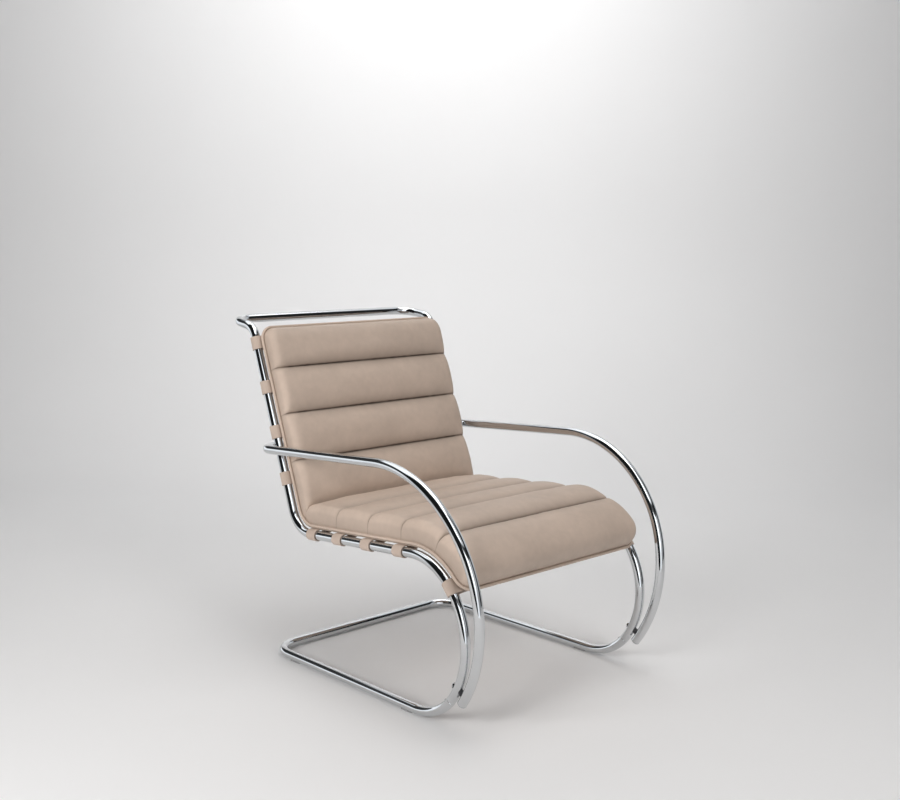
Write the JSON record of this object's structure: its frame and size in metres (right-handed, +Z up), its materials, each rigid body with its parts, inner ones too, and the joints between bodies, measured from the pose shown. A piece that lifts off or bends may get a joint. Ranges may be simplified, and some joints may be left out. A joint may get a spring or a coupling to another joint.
{
  "type": "lounge chair",
  "caption": "Cantilever lounge chair of bent polished tube with looped arms, leather straps and one channelled leather pad over seat and back.",
  "frame": {"origin": "on the floor under the middle of the chair's outline", "axes": "+Z up, the sitter faces -Y, +X is the sitter's left"},
  "size_m": [0.6534, 0.9268, 0.8466],
  "materials": {
    "polished_tube": "polished",
    "polished_fittings": "polished",
    "inner_steel": "plain",
    "dark_spacers": "matt",
    "glide_plastic": "matt",
    "strap_leather": "smooth, satin",
    "rivet_metal": "plain",
    "pad_leather": "smooth, satin",
    "welt_leather": "smooth, satin",
    "backing_leather": "matt",
    "foam": "open foam"
  },
  "bodies": {
    "root": {"arm_end_plug_left": "polished_fittings", "arm_end_plug_right": "polished_fittings", "arm_loop": "polished_tube", "back_core_1": "foam", "back_core_2": "foam", "back_core_3": "foam", "back_core_4": "foam", "back_strap_1": "strap_leather", "back_strap_2": "strap_leather", "back_strap_3": "strap_leather", "back_strap_4": "strap_leather", "base_frame": "polished_tube", "cushion_backing": "backing_leather", "cushion_cover": "pad_leather", "cushion_welt": "welt_leather", "floor_glide_front_left": "glide_plastic", "floor_glide_front_right": "glide_plastic", "floor_glide_rear_left": "glide_plastic", "floor_glide_rear_right": "glide_plastic", "foot_bolt_left": "polished_fittings", "foot_bolt_right": "polished_fittings", "foot_spacer_left": "dark_spacers", "foot_spacer_right": "dark_spacers", "foot_washer_left": "polished_fittings", "foot_washer_right": "polished_fittings", "frame_spigot_left": "inner_steel", "frame_spigot_right": "inner_steel", "joint_screws": "polished_fittings", "rear_saddle_left": "dark_spacers", "rear_saddle_right": "dark_spacers", "rear_screws": "polished_fittings", "seat_core_1": "foam", "seat_core_2": "foam", "seat_core_3": "foam", "seat_core_4": "foam", "seat_core_5": "foam", "seat_strap_1": "strap_leather", "seat_strap_2": "strap_leather", "seat_strap_3": "strap_leather", "seat_strap_4": "strap_leather", "seat_strap_5": "strap_leather", "strap_rivets": "rivet_metal", "upper_frame": "polished_tube"}
  },
  "joints": []
}
